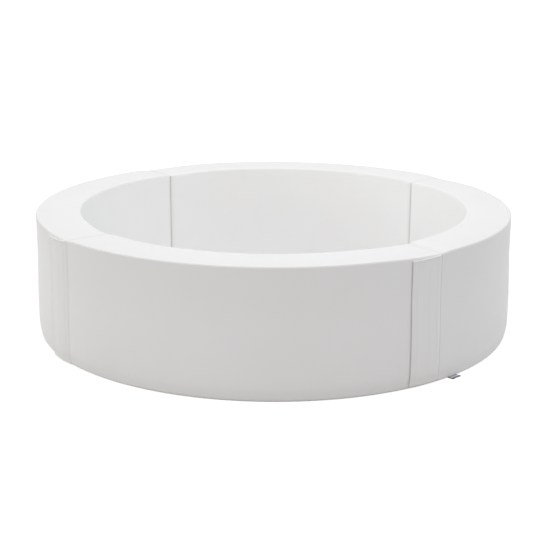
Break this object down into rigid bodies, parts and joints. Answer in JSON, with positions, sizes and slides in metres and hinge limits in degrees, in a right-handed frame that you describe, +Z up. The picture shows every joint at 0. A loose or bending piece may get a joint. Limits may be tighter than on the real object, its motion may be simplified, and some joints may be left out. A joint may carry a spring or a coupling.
{
  "type": "foam ball pit",
  "caption": "Round, bottomless play pit wall of faux leather covered foam segments, joined by hook-and-loop flaps at the outer wall, with zipped, removable covers.",
  "frame": {"origin": "centre of the ring, on the floor that it stands on", "axes": "+Z up along the ring's axis; -Y towards the picture's viewer, +X to the picture's right; the joints lie at 38, 128, 218 and 308 degrees from +X, counter-clockwise from above"},
  "size_m": [1.58, 1.58, 0.4],
  "materials": {
    "faux_leather": "satin",
    "foam": "matte",
    "zip_tape": "matte",
    "white_metal": "satin",
    "hook_tape": "matte",
    "loop_tape": "matte",
    "label_fabric": "matte"
  },
  "bodies": {
    "segment_front": {"cover_front": "faux_leather", "foam_core_front": "foam", "zip_front": "zip_tape", "loop_strip_front": "loop_tape"},
    "segment_right": {"cover_right": "faux_leather", "foam_core_right": "foam", "zip_right": "zip_tape", "loop_strip_right": "loop_tape", "care_label": "label_fabric"},
    "segment_back": {"cover_back": "faux_leather", "foam_core_back": "foam", "zip_back": "zip_tape", "loop_strip_back": "loop_tape"},
    "segment_left": {"cover_left": "faux_leather", "foam_core_left": "foam", "zip_left": "zip_tape", "loop_strip_left": "loop_tape"},
    "flap_front": {"flap_front": "faux_leather", "hook_strip_front": "hook_tape"},
    "slider_front": {"zip_slider_front": "white_metal"},
    "pull_front": {"zip_pull_front": "white_metal"},
    "flap_right": {"flap_right": "faux_leather", "hook_strip_right": "hook_tape"},
    "slider_right": {"zip_slider_right": "white_metal"},
    "pull_right": {"zip_pull_right": "white_metal"},
    "flap_back": {"flap_back": "faux_leather", "hook_strip_back": "hook_tape"},
    "slider_back": {"zip_slider_back": "white_metal"},
    "pull_back": {"zip_pull_back": "white_metal"},
    "flap_left": {"flap_left": "faux_leather", "hook_strip_left": "hook_tape"},
    "slider_left": {"zip_slider_left": "white_metal"},
    "pull_left": {"zip_pull_left": "white_metal"}
  },
  "joints": [
    {"name": "segment_right_lift", "type": "slide", "parent": "segment_front", "child": "segment_right", "axis": [0, 0, 1], "range_m": [0, 0.45]},
    {"name": "segment_back_lift", "type": "slide", "parent": "segment_front", "child": "segment_back", "axis": [0, 0, 1], "range_m": [0, 0.45]},
    {"name": "segment_left_lift", "type": "slide", "parent": "segment_front", "child": "segment_left", "axis": [0, 0, 1], "range_m": [0, 0.45]},
    {"name": "flap_front_peel", "type": "hinge", "parent": "segment_front", "child": "flap_front", "pos_m": [-0.62209, -0.48985, 0.2], "axis": [0, 0, 1], "range_deg": [0, 150]},
    {"name": "flap_right_peel", "type": "hinge", "parent": "segment_right", "child": "flap_right", "pos_m": [0.48985, -0.62209, 0.2], "axis": [0, 0, 1], "range_deg": [0, 150]},
    {"name": "flap_back_peel", "type": "hinge", "parent": "segment_back", "child": "flap_back", "pos_m": [0.62209, 0.48985, 0.2], "axis": [0, 0, 1], "range_deg": [0, 150]},
    {"name": "flap_left_peel", "type": "hinge", "parent": "segment_left", "child": "flap_left", "pos_m": [-0.48985, 0.62209, 0.2], "axis": [0, 0, 1], "range_deg": [0, 150]},
    {"name": "slider_front_travel", "type": "hinge", "parent": "segment_front", "child": "slider_front", "pos_m": [0, 0, 0], "axis": [0, 0, 1], "range_deg": [0, 72]},
    {"name": "slider_right_travel", "type": "hinge", "parent": "segment_right", "child": "slider_right", "pos_m": [0, 0, 0], "axis": [0, 0, 1], "range_deg": [0, 72]},
    {"name": "slider_back_travel", "type": "hinge", "parent": "segment_back", "child": "slider_back", "pos_m": [0, 0, 0], "axis": [0, 0, 1], "range_deg": [0, 72]},
    {"name": "slider_left_travel", "type": "hinge", "parent": "segment_left", "child": "slider_left", "pos_m": [0, 0, 0], "axis": [0, 0, 1], "range_deg": [0, 72]},
    {"name": "pull_front_swing", "type": "hinge", "parent": "slider_front", "child": "pull_front", "pos_m": [-0.49824, -0.5195, 0.0023], "axis": [0.6922, 0.7217, 0], "range_deg": [0, 150]},
    {"name": "pull_right_swing", "type": "hinge", "parent": "slider_right", "child": "pull_right", "pos_m": [0.5195, -0.49824, 0.0023], "axis": [-0.7217, 0.6922, 0], "range_deg": [0, 150]},
    {"name": "pull_back_swing", "type": "hinge", "parent": "slider_back", "child": "pull_back", "pos_m": [0.49824, 0.5195, 0.0023], "axis": [-0.6922, -0.7217, 0], "range_deg": [0, 150]},
    {"name": "pull_left_swing", "type": "hinge", "parent": "slider_left", "child": "pull_left", "pos_m": [-0.5195, 0.49824, 0.0023], "axis": [0.7217, -0.6922, 0], "range_deg": [0, 150]}
  ]
}
